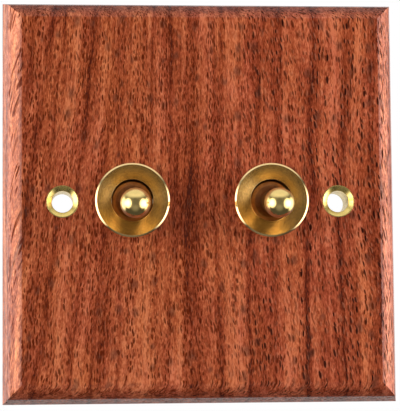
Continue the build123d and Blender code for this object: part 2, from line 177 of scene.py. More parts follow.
# ------------------------------------------------------------------ node helpers
class Tree:
    """A material with its Principled shader, and P, the point in millimetres in the row's frame."""

    def __init__(self, name):
        self.mat = bpy.data.materials.new(name)
        self.mat.use_nodes = True
        self.nt = self.mat.node_tree
        self.nt.nodes.clear()
        out = self.nt.nodes.new("ShaderNodeOutputMaterial")
        self.bsdf = self.nt.nodes.new("ShaderNodeBsdfPrincipled")
        self.nt.links.new(self.bsdf.outputs[0], out.inputs["Surface"])
        coord = self.nt.nodes.new("ShaderNodeTexCoord")
        self.P = self.scale(coord.outputs["Object"], 1000.0)
        sep = self.nt.nodes.new("ShaderNodeSeparateXYZ")
        self.nt.links.new(self.P, sep.inputs[0])
        self.x, self.y, self.z = sep.outputs

    def put(self, value, socket):
        if isinstance(value, bpy.types.NodeSocket):
            self.nt.links.new(value, socket)
        elif value is not None:
            socket.default_value = value

    def set(self, **values):
        names = {"base": "Base Color", "rough": "Roughness", "metal": "Metallic", "normal": "Normal",
                 "coat": "Coat Weight", "coat_rough": "Coat Roughness", "coat_normal": "Coat Normal",
                 "spec": "Specular IOR Level", "aniso": "Anisotropic", "aniso_rot": "Anisotropic Rotation",
                 "tangent": "Tangent", "ior": "IOR", "coat_ior": "Coat IOR", "sheen": "Sheen Weight",
                 "subsurface": "Subsurface Weight", "radius": "Subsurface Radius", "sub_scale": "Subsurface Scale",
                 "tint": "Specular Tint", "coat_tint": "Coat Tint"}
        for k, v in values.items():
            self.put(v, self.bsdf.inputs[names[k]])

    def vec(self, op, a, b=None):
        n = self.nt.nodes.new("ShaderNodeVectorMath")
        n.operation = op
        self.put(a, n.inputs[0])
        self.put(b, n.inputs[1])
        return n.outputs["Value"] if op in ("LENGTH", "DISTANCE", "DOT_PRODUCT") else n.outputs["Vector"]

    def scale(self, a, k):
        n = self.nt.nodes.new("ShaderNodeVectorMath")
        n.operation = "SCALE"
        self.put(a, n.inputs[0])
        n.inputs["Scale"].default_value = k
        return n.outputs["Vector"]

    def stretch(self, a, x, y, z):
        return self.vec("MULTIPLY", a, (x, y, z))

    def combine(self, x, y, z):
        n = self.nt.nodes.new("ShaderNodeCombineXYZ")
        for v, s in zip((x, y, z), n.inputs):
            self.put(v, s)
        return n.outputs[0]

    def math(self, op, a, b=None, c=None, clamp=False):
        n = self.nt.nodes.new("ShaderNodeMath")
        n.operation = op
        n.use_clamp = clamp
        for v, s in zip((a, b, c), n.inputs):
            self.put(v, s)
        return n.outputs[0]

    def add(self, a, b): return self.math("ADD", a, b)
    def sub(self, a, b): return self.math("SUBTRACT", a, b)
    def mul(self, a, b): return self.math("MULTIPLY", a, b)

    def ease(self, v, lo, hi, a=0.0, b=1.0, smooth=True):
        n = self.nt.nodes.new("ShaderNodeMapRange")
        n.interpolation_type = "SMOOTHSTEP" if smooth else "LINEAR"
        self.put(v, n.inputs["Value"])
        for k, w in (("From Min", lo), ("From Max", hi), ("To Min", a), ("To Max", b)):
            n.inputs[k].default_value = w
        return n.outputs["Result"]

    def noise(self, v, scale, detail=2.0, rough=0.5, distort=0.0, colour=False):
        n = self.nt.nodes.new("ShaderNodeTexNoise")
        self.put(v, n.inputs["Vector"])
        n.inputs["Scale"].default_value = scale
        n.inputs["Detail"].default_value = detail
        n.inputs["Roughness"].default_value = rough
        n.inputs["Distortion"].default_value = distort
        return n.outputs["Color" if colour else "Fac"]

    def voronoi(self, v, scale, randomness=1.0, feature="F1"):
        n = self.nt.nodes.new("ShaderNodeTexVoronoi")
        n.feature = feature
        self.put(v, n.inputs["Vector"])
        n.inputs["Scale"].default_value = scale
        n.inputs["Randomness"].default_value = randomness
        return n

    def ramp(self, fac, stops, mode="LINEAR"):
        n = self.nt.nodes.new("ShaderNodeValToRGB")
        r = n.color_ramp
        r.interpolation = mode
        while len(r.elements) < len(stops):
            r.elements.new(0.5)
        for e, (p, c) in zip(r.elements, stops):
            e.position = p
            e.color = (*c, 1)
        self.put(fac, n.inputs["Fac"])
        return n.outputs["Color"]

    def mix(self, fac, a, b, mode="MIX"):
        n = self.nt.nodes.new("ShaderNodeMix")
        n.data_type = "RGBA"
        n.blend_type = mode
        n.clamp_factor = True
        self.put(fac, n.inputs["Factor"])
        self.put((*a, 1) if isinstance(a, tuple) else a, n.inputs["A"])
        self.put((*b, 1) if isinstance(b, tuple) else b, n.inputs["B"])
        return n.outputs["Result"]

    def bump(self, height, strength, distance, normal=None):
        n = self.nt.nodes.new("ShaderNodeBump")
        n.inputs["Strength"].default_value = strength
        n.inputs["Distance"].default_value = distance
        self.put(height, n.inputs["Height"])
        self.put(normal, n.inputs["Normal"])
        return n.outputs["Normal"]


# ------------------------------------------------------------------ wood
def grain_and_shade_band(t, xw, z, a, b, c, width, z0, z1, fade=8.0):
    """A band along a curve: 1 on the curve x = a + b z + c z2, falling to 0 at its width. It draws the grain's lines
    and a painted shade between the switches.
    """
    centre = t.add(t.math("MULTIPLY_ADD", z, b, a), t.mul(t.mul(z, z), c))
    d = t.math("ABSOLUTE", t.sub(xw, centre))
    g = t.ease(d, 0.0, width, 1.0, 0.0)
    lo = t.ease(z, z0 - fade, z0 + fade)
    hi = t.ease(z, z1 - fade, z1 + fade, 1.0, 0.0)
    return t.mul(g, t.mul(lo, hi))


def pores(t, u, w, across, along, seed, keep, half_w, half_l, tilt, soft=0.28):
    """Pores cut lengthwise: in most cells, across x along mm, one short dash with its own size and lean.
    The second result is a painted highlight, a lighter line down the dash's right side, and the third a number for each
    dash."""
    n = t.nt.nodes.new("ShaderNodeTexVoronoi")
    n.voronoi_dimensions = "2D"
    n.inputs["Scale"].default_value = 1.0
    n.inputs["Randomness"].default_value = 0.95
    cell = t.combine(t.math("MULTIPLY_ADD", u, 1 / across, seed), t.math("MULTIPLY_ADD", w, 1 / along, seed * 1.7), 0.0)
    t.put(cell, n.inputs["Vector"])
    off = t.nt.nodes.new("ShaderNodeSeparateXYZ")
    t.put(t.vec("SUBTRACT", cell, n.outputs["Position"]), off.inputs[0])
    pick = t.nt.nodes.new("ShaderNodeSeparateColor")
    t.put(n.outputs["Color"], pick.inputs[0])
    size = t.ease(pick.outputs[1], 0.0, 1.0, 0.55, 1.25, smooth=False)
    dw = t.mul(off.outputs[1], along)
    lean = t.math("MULTIPLY_ADD", t.sub(pick.outputs[2], 0.5), 0.20, tilt)
    du = t.add(t.mul(off.outputs[0], across), t.mul(dw, lean))
    a, b = t.mul(du, 1 / half_w), t.mul(dw, 1 / half_l)
    near = t.math("DIVIDE", t.math("SQRT", t.add(t.mul(a, a), t.mul(b, b))), size)
    on = t.math("GREATER_THAN", pick.outputs[0], keep)
    dark = t.mul(t.ease(near, 1 - soft, 1 + soft, 1.0, 0.0), on)
    # painted highlight: a lighter line beside the dash's right side
    a2 = t.sub(a, 1.5)
    near2 = t.math("DIVIDE", t.math("SQRT", t.add(t.mul(a2, a2), t.mul(b, b))), size)
    light = t.mul(t.ease(near2, 0.6, 1.15, 1.0, 0.0), on)
    return dark, light, pick.outputs[2]


def wood(name):
    t = Tree(name)
    P, x, y, z = t.P, t.x, t.y, t.z
    # the grain leans on the left, is upright on the right, and wanders a little everywhere
    lean = t.ease(x, -34.0, 6.0, 0.105, 0.0)
    wander = t.noise(t.stretch(P, 1.0, 0.5, 0.45), 0.045, 2.0, 0.5, colour=True)
    sep = t.nt.nodes.new("ShaderNodeSeparateColor")
    t.put(wander, sep.inputs[0])
    shake = t.noise(t.stretch(P, 0.9, 0.5, 0.22), 0.55, 2.0, 0.5)
    xw = t.sub(x, t.mul(z, lean))
    xw = t.add(xw, t.math("MULTIPLY_ADD", sep.outputs[0], 5.0, -2.5))
    xw = t.add(xw, t.math("MULTIPLY_ADD", shake, 1.1, -0.55))
    Q = t.combine(xw, y, z)

    bands = t.noise(t.stretch(Q, 1.0, 1.0, 0.03), 0.26, 2.0, 0.5)
    mid = t.noise(t.stretch(Q, 1.0, 1.0, 0.09), 0.95, 2.0, 0.55)
    fibre = t.noise(t.stretch(Q, 1.0, 0.5, 0.24), 2.9, 1.0, 0.5)
    fine = t.noise(t.stretch(Q, 1.0, 0.6, 0.27), 5.0, 1.0, 0.5)
    cloud = t.noise(t.stretch(P, 1.0, 1.0, 0.8), 0.11, 3.0, 0.6)

    streak = t.noise(t.stretch(Q, 1.0, 1.0, 0.055), 0.62, 1.0, 0.5)
    tone = t.math("MULTIPLY_ADD", t.sub(fibre, 0.5), 0.75, 0.645)
    tone = t.add(tone, t.mul(t.sub(fine, 0.5), 1.0))
    tone = t.add(tone, t.mul(t.sub(mid, 0.5), 0.80))
    tone = t.add(tone, t.mul(t.sub(bands, 0.5), 0.95))
    tone = t.sub(tone, t.mul(t.sub(streak, 0.5), t.ease(x, -10.0, 14.0, 0.65, 0.55)))
    tone = t.add(tone, t.mul(t.sub(cloud, 0.5), 0.45))

    # veins that curve through the left half, and straighter bands through the right half
    for a, b, c, width, z0, z1, strength in (
            (-38.0, 0.00, 0.0012, 1.9, -8, 50, 0.44),
            (-31.6, 0.02, 0.0000, 1.2, -50, -2, 0.36),
            (-34.5, 0.00, 0.0006, 0.7, 4, 50, 0.22),
            (-27.5, 0.00, 0.0008, 0.8, 0, 50, 0.26),
            (-21.8, -0.02, 0.0006, 0.8, 8, 50, 0.24),
            (-24.6, 0.01, 0.0, 0.7, -50, -10, 0.22),
            (-20.6, 0.00, 0.0, 0.9, -50, -4, 0.36),
            (-16.2, -0.02, 0.0, 0.8, -50, -6, 0.28),
            (-12.0, 0.00, 0.0003, 0.7, 10, 50, 0.22),
            (-7.2, 0.00, 0.0, 0.8, 5, 50, 0.38),
            (-4.4, 0.01, 0.0, 0.8, -50, -6, 0.22),
            (-2.5, 0.00, 0.0, 3.0, -20, 20, 0.16),
            (4.4, 0.010, 0.0, 0.9, 2, 50, 0.30),
            (3.6, -0.010, 0.0, 0.9, -50, -4, 0.26),
            (8.6, 0.000, 0.0, 0.8, 0, 50, 0.24),
            (12.7, 0.008, 0.0, 0.8, 5, 50, 0.20),
            (17.4, 0.010, 0.0, 1.0, -4, 50, 0.28),
            (24.6, 0.012, 0.0, 1.3, -2, 50, 0.38),
            (32.4, 0.000, 0.0, 1.0, -5, 50, 0.26),
            (38.6, 0.000, 0.0, 1.4, -50, 50, 0.34),
            (10.4, 0.000, 0.0, 0.9, -50, 2, 0.42),
            (22.6, -0.02, 0.0, 1.1, -50, -2, 0.46),
            (27.2, -0.01, 0.0, 0.8, -50, -6, 0.20),
            (30.8, 0.000, 0.0, 1.1, -50, 2, 0.42)):
        tone = t.sub(tone, t.mul(grain_and_shade_band(t, xw, z, a, b, c, width, z0, z1), strength))
    # painted shade: a broad darkening of the wood between the two switches, standing in for the bezels' shadow
    tone = t.sub(tone, t.mul(grain_and_shade_band(t, x, z, -1.0, 0.0, 0.0, 13.0, -9, 9, 9.0), 0.20))
    for a, width, z0, z1 in ((27.9, 2.8, -8, 60), (7.0, 2.4, -50, -4), (1.2, 1.8, 4, 50), (35.4, 2.2, -50, 50)):
        tone = t.add(tone, t.mul(grain_and_shade_band(t, xw, z, a, 0.0, 0.0, width, z0, z1, 10.0), 0.15))

    colour = t.ramp(tone, [
        (0.00, (0.060, 0.008, 0.002)),
        (0.18, (0.135, 0.018, 0.004)),
        (0.36, (0.215, 0.036, 0.010)),
        (0.52, (0.285, 0.053, 0.016)),
        (0.68, (0.362, 0.079, 0.027)),
        (0.84, (0.455, 0.114, 0.041)),
        (1.00, (0.560, 0.160, 0.066))])
    redder = t.ease(x, -12.0, 16.0, 0.0, 0.35)
    colour = t.mix(redder, colour, t.mix(1.0, colour, (1.03, 0.86, 1.0), "MULTIPLY"))
    patch = t.noise(t.stretch(Q, 1.0, 1.0, 0.30), 0.16, 3.0, 0.6)
    colour = t.mix(t.ease(patch, 0.48, 0.64), colour, t.mix(1.0, colour, (0.99, 0.94, 1.04), "MULTIPLY"))
    colour = t.mix(t.ease(patch, 0.36, 0.52, 1.0, 0.0), colour, t.mix(1.0, colour, (1.03, 1.05, 0.97), "MULTIPLY"))

    # pores: the section runs on over the moulded edges, as dashes at the sides and as dots in the end grain
    round_off = t.add(y, FACE)
    u = t.math("MULTIPLY_ADD", round_off, 0.9, xw)
    w = t.math("MULTIPLY_ADD", round_off, 4.0, z)
    crowd = t.noise(t.stretch(Q, 1.0, 1.0, 0.20), 0.33, 2.0, 0.5)
    right = t.ease(x, -4.0, 20.0)
    dark_a, pore_glint_a, _ = pores(t, u, w, 0.56, 1.75, 3.3, 0.30, 0.15, 0.56, 0.02)
    dark_b, pore_glint_b, _ = pores(t, u, w, 0.80, 2.30, 11.1, 0.40, 0.18, 0.70, 0.10)
    dark_c, pore_glint_c, tint_c = pores(t, u, w, 1.00, 2.50, 27.7, 0.30, 0.215, 0.74, 0.14)
    blot, _, _ = pores(t, u, w, 3.6, 5.2, 41.3, 0.58, 0.60, 0.95, 0.0, 0.75)
    column = t.ease(streak, 0.36, 0.60)
    dark_a = t.mul(dark_a, t.mul(t.ease(column, 0.0, 1.0, 0.30, 1.0), t.ease(right, 0.0, 1.0, 0.95, 0.40)))
    dark_b = t.mul(dark_b, t.mul(t.ease(crowd, 0.30, 0.60, 0.40, 1.0), t.ease(right, 0.0, 1.0, 0.80, 0.85)))
    dark_c = t.mul(dark_c, t.mul(t.ease(column, 0.0, 1.0, 0.35, 1.0), t.ease(right, 0.0, 1.0, 0.25, 1.0)))
    # painted highlight: lighter lines beside some pores, standing in for the lacquer's glint at their edges
    glint = t.math("MAXIMUM", t.mul(pore_glint_b, 0.5), t.mul(pore_glint_c, right))
    colour = t.mix(t.mul(glint, 0.22), colour, (0.62, 0.24, 0.13))
    colour = t.mix(t.mul(blot, 0.55), colour, (0.060, 0.020, 0.012))
    colour = t.mix(dark_a, colour, (0.095, 0.011, 0.002))
    colour = t.mix(dark_b, colour, (0.060, 0.007, 0.002))
    colour = t.mix(dark_c, colour, t.mix(tint_c, (0.022, 0.004, 0.002), (0.055, 0.012, 0.007)))
    dots = t.math("MAXIMUM", t.math("MAXIMUM", t.mul(dark_a, 0.7), dark_b), dark_c)

    # painted shade: the top and bottom mouldings, where the end grain shows, are painted darker, standing in for the
    # little light that reaches them
    to_end = t.sub(44.4, t.math("ABSOLUTE", t.sub(z, 0.5)))
    to_side = t.sub(43.5, t.math("ABSOLUTE", t.sub(x, 0.25)))
    end = t.mul(t.ease(t.sub(to_side, to_end), -0.05, 0.05), t.ease(round_off, 0.0, 1.2))
    end = t.mul(end, t.ease(y, -0.3, -0.1, 1.0, 0.0))
    colour = t.mix(end, colour, t.mix(1.0, colour, (0.62, 0.58, 0.62), "MULTIPLY"))

    # painted light: the mouldings at the sides are painted paler, standing in for the light of the side lamps on them
    across = t.mul(t.ease(t.sub(to_side, to_end), -0.05, 0.05, 1.0, 0.0), t.ease(y, -0.3, -0.1, 1.0, 0.0))
    across = t.mul(across, t.mul(t.ease(round_off, 0.0, 0.35), t.ease(round_off, 0.8, 3.0, 1.0, 0.45)))
    colour = t.mix(across, colour, t.mix(1.0, colour, (1.75, 1.95, 1.80), "MULTIPLY"))

    # bare wood behind, in the pocket and in the holes
    pocket = t.mul(t.mul(t.ease(t.math("ABSOLUTE", x), 25.5, 25.6, 1.0, 0.0), t.ease(t.math("ABSOLUTE", z), 28.5, 28.6, 1.0, 0.0)),
                   t.ease(y, -8.7, -8.6))
    bare = t.math("MAXIMUM", pocket, t.ease(y, -0.06, -0.02))
    colour = t.mix(bare, colour, t.mix(0.45, colour, (0.40, 0.19, 0.11)))

    grain = t.add(t.mul(fibre, 0.6), t.mul(fine, 0.4))
    under = t.bump(t.sub(grain, t.mul(dots, 0.9)), 0.5, 0.00007)
    lacquer = t.mul(t.ease(bare, 0.0, 1.0, 0.85, 0.0), t.ease(dots, 0.0, 0.8, 1.0, 0.10))
    t.set(base=colour, rough=t.ease(fibre, 0.2, 0.8, 0.48, 0.62), spec=0.0, normal=under,
          coat=lacquer, coat_rough=0.20, coat_ior=1.47)
    peel = t.noise(P, 1.3, 2.0, 0.5)
    over = t.bump(t.sub(t.mul(peel, 0.3), t.add(t.mul(dots, 0.45), t.mul(t.add(fibre, fine), 0.40))), 0.5, 0.00006)
    t.set(coat_normal=over)
    return t.mat


# ------------------------------------------------------------------ metals
def scratches(t, v, scale, amount):
    n = t.noise(v, scale, 3.0, 0.7)
    return t.mul(t.sub(n, 0.5), amount)


def brass(name, base, dark, rough, aniso=0.0, turned_x=None, tarnish=0.25, micro=0.00002):
    """Brass with slight tarnish, uneven polish and, where turned, grooves round its axis along Y at turned_x."""
    t = Tree(name)
    mottle = t.noise(t.P, 0.9, 4.0, 0.6)
    speck = t.noise(t.P, 5.0, 3.0, 0.7)
    mask = t.ease(t.add(t.mul(mottle, 0.65), t.mul(speck, 0.35)), 0.42, 0.62)
    colour = t.mix(t.mul(mask, tarnish), base, dark)
    r = t.add(t.mul(t.sub(speck, 0.5), rough * 0.7), t.mul(mask, rough * 0.35))
    height = t.mul(speck, 0.4)
    if turned_x is not None:
        dx = t.sub(t.x, turned_x)
        radius = t.math("SQRT", t.add(t.mul(dx, dx), t.mul(t.z, t.z)))
        grooves = t.noise(t.combine(radius, 0.0, 0.0), 9.0, 4.0, 0.8)
        coarse = t.noise(t.combine(radius, 0.0, 0.0), 1.8, 2.0, 0.5)
        height = t.add(height, t.add(t.mul(grooves, 1.0), t.mul(coarse, 0.8)))
        r = t.add(r, t.mul(t.sub(grooves, 0.5), rough * 0.9))
        colour = t.mix(t.ease(grooves, 0.35, 0.75, 0.0, 0.25), colour, dark)
    t.set(base=colour, metal=1.0, rough=t.math("ADD", r, rough, clamp=True),
          normal=t.bump(height, 0.35, micro))
    if aniso:
        tangent = t.nt.nodes.new("ShaderNodeTangent")
        tangent.direction_type = "RADIAL"
        tangent.axis = "Y"
        t.set(aniso=aniso, tangent=tangent.outputs[0])
    return t.mat


def steel(name, base, rough, spangle=0.0, grain=None):
    t = Tree(name)
    cells = t.voronoi(t.P, 0.32)
    cell = t.nt.nodes.new("ShaderNodeSeparateColor")
    t.put(cells.outputs["Color"], cell.inputs[0])
    mottle = t.noise(t.P, 0.6, 4.0, 0.6)
    lines = t.noise(t.stretch(t.P, *(grain or (1, 1, 1))), 6.0, 3.0, 0.7)
    shade = t.add(t.mul(t.sub(mottle, 0.5), 0.35), t.mul(t.sub(cell.outputs[0], 0.5), spangle))
    colour = t.mix(t.math("ADD", shade, 0.5, clamp=True), tuple(c * 0.72 for c in base), tuple(min(1, c * 1.18) for c in base))
    r = t.add(t.mul(t.sub(lines, 0.5), rough * 0.8), t.mul(t.sub(mottle, 0.5), rough * 0.6))
    t.set(base=colour, metal=1.0, rough=t.math("ADD", r, rough, clamp=True),
          normal=t.bump(t.add(lines, t.mul(mottle, 0.5)), 0.3, 0.00002))
    return t.mat


def plastic(name, base, other, rough, speck_amount=0.3, gloss=0.4):
    t = Tree(name)
    flow = t.noise(t.stretch(t.P, 1, 1, 0.5), 0.25, 4.0, 0.6, 1.2)
    speck = t.noise(t.P, 4.0, 4.0, 0.75)
    k = t.math("ADD", t.mul(t.sub(flow, 0.5), 0.9), t.mul(t.sub(speck, 0.5), speck_amount * 2), clamp=False)
    colour = t.mix(t.math("ADD", k, 0.5, clamp=True), base, other)
    skin = t.noise(t.P, 2.2, 3.0, 0.6)
    t.set(base=colour, rough=t.ease(speck, 0.2, 0.8, rough * 0.8, rough * 1.25), spec=0.5,
          coat=gloss, coat_rough=0.25, normal=t.bump(t.add(skin, t.mul(speck, 0.3)), 0.25, 0.00003))
    return t.mat


def bezel(name, side):
    """Turned ring: satin dished face with fine grooves, polished rim and flank, and a bright edge at its hole."""
    t = Tree(name)
    dx = t.sub(t.x, side * GANG_X)
    radius = t.math("SQRT", t.add(t.mul(dx, dx), t.mul(t.z, t.z)))
    depth = t.add(t.y, FACE)
    face = t.mul(t.ease(radius, BEZEL_FACE_R - 0.05, BEZEL_FACE_R + 0.03, 1.0, 0.0), t.ease(radius, HOLE_R + 0.06, HOLE_R + 0.14))
    face = t.mul(face, t.ease(depth, -2.9, -2.8, 1.0, 0.0))
    groove = t.noise(t.combine(radius, 0.0, 0.0), 7.0, 3.0, 0.75)
    broad = t.noise(t.combine(radius, 0.0, 0.0), 1.1, 2.0, 0.5)
    soil = t.noise(t.P, 0.42, 3.0, 0.55)
    speck = t.noise(t.P, 2.6, 3.0, 0.65)
    dull = t.ease(t.add(t.mul(soil, 0.6), t.mul(speck, 0.4)), 0.46, 0.66)
    gold = t.mix(t.mul(dull, 0.45), (0.64, 0.36, 0.105), (0.46, 0.29, 0.12))
    gold = t.mix(t.ease(groove, 0.42, 0.78, 0.0, 0.22), gold, (0.38, 0.20, 0.065))
    grain = t.noise(t.stretch(t.P, 1.0, 1.0, 0.45), 4.2, 2.0, 0.6)
    gold = t.mix(t.ease(grain, 0.50, 0.68, 0.0, 0.40), gold, (0.24, 0.14, 0.05))
    gold = t.mix(t.ease(grain, 0.32, 0.50, 0.28, 0.0), gold, (0.90, 0.62, 0.26))
    pale = t.mix(t.mul(dull, 0.20), (0.96, 0.68, 0.32), (0.74, 0.50, 0.22))
    colour = t.mix(face, pale, gold)
    r_face = t.math("MULTIPLY_ADD", t.sub(groove, 0.5), 0.10, 0.20)
    r_face = t.math("MULTIPLY_ADD", dull, 0.05, r_face)
    r_rim = t.math("MULTIPLY_ADD", speck, 0.06, 0.085)
    rough = t.add(t.mul(face, r_face), t.mul(t.sub(1.0, face), r_rim))
    height = t.mul(face, t.add(t.mul(groove, 1.0), t.mul(broad, 0.8)))
    tangent = t.nt.nodes.new("ShaderNodeTangent")
    tangent.direction_type = "RADIAL"
    tangent.axis = "Y"
    t.set(base=colour, metal=1.0, rough=rough, normal=t.bump(height, 0.30, 0.000012),
          aniso=t.mul(face, 0.82), aniso_rot=0.25, tangent=tangent.outputs[0])
    return t.mat


def dolly(name, side):
    """Lever: a polished ball, a warmer, duller neck, a darker, redder skirt inside the hole, painted shade round the
    neck's foot and a painted greyer reflection on the underside of the ball's rim.
    """
    t = Tree(name)
    a = math.radians(LEAN)
    ball = (side * GANG_X, -FACE - BALL_REACH * math.cos(a), -BALL_REACH * math.sin(a))
    far = t.vec("DISTANCE", t.P, ball)
    ahead = t.vec("DOT_PRODUCT", t.vec("SUBTRACT", t.P, ball), (0.0, -math.cos(a), -math.sin(a)))
    belt = t.mul(t.ease(ahead, 1.2, 2.1, 1.0, 0.0), t.sub(1.0, t.ease(far, 3.3, 3.6)))
    # mask for the painted reflection on the underside of the ball's rim
    under = t.mul(belt, t.ease(t.sub(t.z, ball[2]), -2.2, -0.4, 1.0, 0.0))
    shaft = t.ease(far, 3.3, 5.2)
    # painted shade: a dark band round the neck's foot, where it meets the skirt
    shaded_foot = t.mul(t.ease(far, 10.5, 12.4), t.ease(far, 15.15, 15.5, 1.0, 0.0))
    inside = t.ease(far, 15.15, 15.5)
    haze = t.noise(t.P, 0.8, 3.0, 0.6)
    speck = t.noise(t.P, 4.0, 3.0, 0.7)
    bright = t.mix(t.ease(haze, 0.45, 0.7, 0.0, 0.25), (0.95, 0.71, 0.27), (0.84, 0.58, 0.21))
    warm = t.mix(t.ease(haze, 0.35, 0.65), (0.90, 0.68, 0.33), (0.76, 0.54, 0.24))
    # colour of the painted shade at the neck's foot
    foot_shade = t.mix(t.ease(haze, 0.35, 0.65), (0.46, 0.22, 0.09), (0.32, 0.145, 0.06))
    deep = t.mix(t.ease(haze, 0.35, 0.65), (0.80, 0.46, 0.20), (0.62, 0.33, 0.14))
    # painted reflection: the underside of the ball's rim is painted greyer, standing in for a dimmer, greyer reflection
    # of the wood below
    bright = t.mix(t.mul(under, 0.75), bright, (0.62, 0.60, 0.46))
    colour = t.mix(shaded_foot, t.mix(inside, t.mix(shaft, bright, warm), deep), foot_shade)
    rough = t.add(t.ease(shaft, 0.0, 1.0, 0.17, 0.24), t.mul(t.sub(speck, 0.5), 0.07))
    rough = t.add(rough, t.mul(belt, 0.20))
    rough = t.add(rough, t.mul(t.math("MAXIMUM", inside, shaded_foot), 0.14))
    t.set(base=colour, metal=1.0, rough=rough, normal=t.bump(t.add(haze, t.mul(speck, 0.35)), 0.25, 0.00002))
    return t.mat


MATS = {
    "wood": wood("wood_lacquered"),
    "brass_cup": brass("brass_cup", (0.94, 0.72, 0.24), (0.74, 0.54, 0.17), 0.24, tarnish=0.3),
    "brass_plain": brass("brass_plain", (0.80, 0.60, 0.27), (0.42, 0.28, 0.10), 0.27, tarnish=0.45),
    "zinc_steel": steel("zinc_steel", (0.66, 0.67, 0.68), 0.30, 0.35),
    "spring_steel": steel("spring_steel", (0.46, 0.46, 0.47), 0.22),
    "silver": steel("silver", (0.88, 0.87, 0.84), 0.18),
    "nylon": plastic("nylon", (0.74, 0.71, 0.61), (0.62, 0.58, 0.48), 0.42, 0.2, 0.1),
    "moulded_brown": plastic("moulded_brown", (0.052, 0.022, 0.012), (0.105, 0.046, 0.024), 0.30, 0.6, 0.5),
}
for word, side in (("left", -1), ("right", 1)):
    MATS["brass_turned_" + word] = bezel("brass_turned_" + word, side)
    MATS["brass_polished_" + word] = dolly("brass_polished_" + word, side)

slot_of = {s["node"]: s["material_slot"] for s in frame["record"]["subparts"]}


def dress(obj, mat):
    obj.data.materials.clear()
    obj.data.materials.append(mat)


for name, obj in nodes.items():
    key = slot_of[name]
    if key in ("brass_turned", "brass_polished"):
        key += "_left" if name.startswith("left") else "_right"
    dress(obj, MATS[key])


# ------------------------------------------------------------------ mesh helpers (mm)
def arc3(p0, p1, p2, n=16):
    """Points of the arc from p0 through p1 to p2."""
    (ax, ay), (bx, by), (cx, cy) = p0, p1, p2
    d = 2 * (ax * (by - cy) + bx * (cy - ay) + cx * (ay - by))
    ux = ((ax * ax + ay * ay) * (by - cy) + (bx * bx + by * by) * (cy - ay) + (cx * cx + cy * cy) * (ay - by)) / d
    uy = ((ax * ax + ay * ay) * (cx - bx) + (bx * bx + by * by) * (ax - cx) + (cx * cx + cy * cy) * (bx - ax)) / d
    r = math.hypot(ax - ux, ay - uy)
    a0, a1, a2 = (math.atan2(y - uy, x - ux) for x, y in (p0, p1, p2))
    turn = (a2 - a0) % (2 * math.pi)
    if (a1 - a0) % (2 * math.pi) > turn:
        turn -= 2 * math.pi
    return [(ux + r * math.cos(a0 + turn * k / n), uy + r * math.sin(a0 + turn * k / n)) for k in range(n + 1)]


def rounded(points, steps=5):
    """A closed outline whose corners (r, h, radius) are rounded off."""
    out, n = [], len(points)
    for i, p in enumerate(points):
        radius = p[2] if len(p) > 2 else 0.0
        if not radius:
            out.append(tuple(p[:2]))
            continue
        c = Vector(p[:2])
        a = (Vector(points[i - 1][:2]) - c).normalized()
        b = (Vector(points[(i + 1) % n][:2]) - c).normalized()
        half = a.angle(b) / 2
        centre = c + (a + b).normalized() * (radius / math.sin(half))
        v0, v1 = c + a * (radius / math.tan(half)) - centre, c + b * (radius / math.tan(half)) - centre
        a0, a1 = math.atan2(v0.y, v0.x), math.atan2(v1.y, v1.x)
        turn = (a1 - a0 + math.pi) % (2 * math.pi) - math.pi
        for k in range(steps + 1):
            out.append((centre.x + radius * math.cos(a0 + turn * k / steps), centre.y + radius * math.sin(a0 + turn * k / steps)))
    return out


def turn(bm, outline, seg=128, closed=True):
    """The outline of (radius, height) turned about local Z."""
    rings = []
    for r, h in outline:
        if r < 1e-6:
            rings.append([bm.verts.new((0, 0, h))])
        else:
            rings.append([bm.verts.new((r * math.cos(2 * math.pi * k / seg), r * math.sin(2 * math.pi * k / seg), h))
                          for k in range(seg)])
    made = []
    for a, b in zip(rings, rings[1:] + (rings[:1] if closed else [])):
        for k in range(seg):
            m = (k + 1) % seg
            if len(a) == 1 and len(b) > 1:
                made.append(bm.faces.new((a[0], b[k], b[m])))
            elif len(b) == 1 and len(a) > 1:
                made.append(bm.faces.new((a[m], a[k], b[0])))
            elif len(a) > 1:
                made.append(bm.faces.new((a[k], b[k], b[m], a[m])))
    bmesh.ops.recalc_face_normals(bm, faces=made)
    return made


def piece(name, bm, place, mat, body, slot, *stands_for, sharp=38.0):
    """Puts a mesh made in millimetres where place says, dressed, riding on its body."""
    mesh = bpy.data.meshes.new(name)
    bm.transform(Matrix.Diagonal((0.001, 0.001, 0.001, 1.0)) @ place)
    bm.to_mesh(mesh)
    bm.free()
    mesh.shade_smooth()
    mesh.set_sharp_from_angle(angle=math.radians(sharp))
    obj = bpy.data.objects.new(name, mesh)
    scene.collection.objects.link(obj)
    dress(obj, mat)
    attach(obj, body)
    if stands_for:
        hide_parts(*stands_for)
    return obj


def at(x, y, z):
    return Matrix.Translation((x, y, z))


TO_FRONT = Matrix.Rotation(math.radians(90), 4, "X")      # local +Z to -Y
TO_BACK = Matrix.Rotation(math.radians(-90), 4, "X")      # local +Z to +Y


# ------------------------------------------------------------------ brass seen from the front
BUSH_R = 5.9
BALL_R = 3.18


def bezel_ring(word, side):
    bm = bmesh.new()
    turn(bm, rounded([
        (HOLE_R, 2.98, 0.07), (7.68, 3.655, 0.05), (8.06, 3.40, 0.12), (8.2, 0.2, 0.1), (8.05, 0.0),
        (BUSH_R + 0.05, 0.0), (BUSH_R + 0.05, 2.4), (4.7, 2.4), (HOLE_R, 2.55)]), 192)
    piece(word + "_bezel_ring_turned", bm, at(side * GANG_X, -FACE, 0) @ TO_FRONT,
          MATS["brass_turned_" + word], "plate", "brass_turned", word + "_bezel_ring")


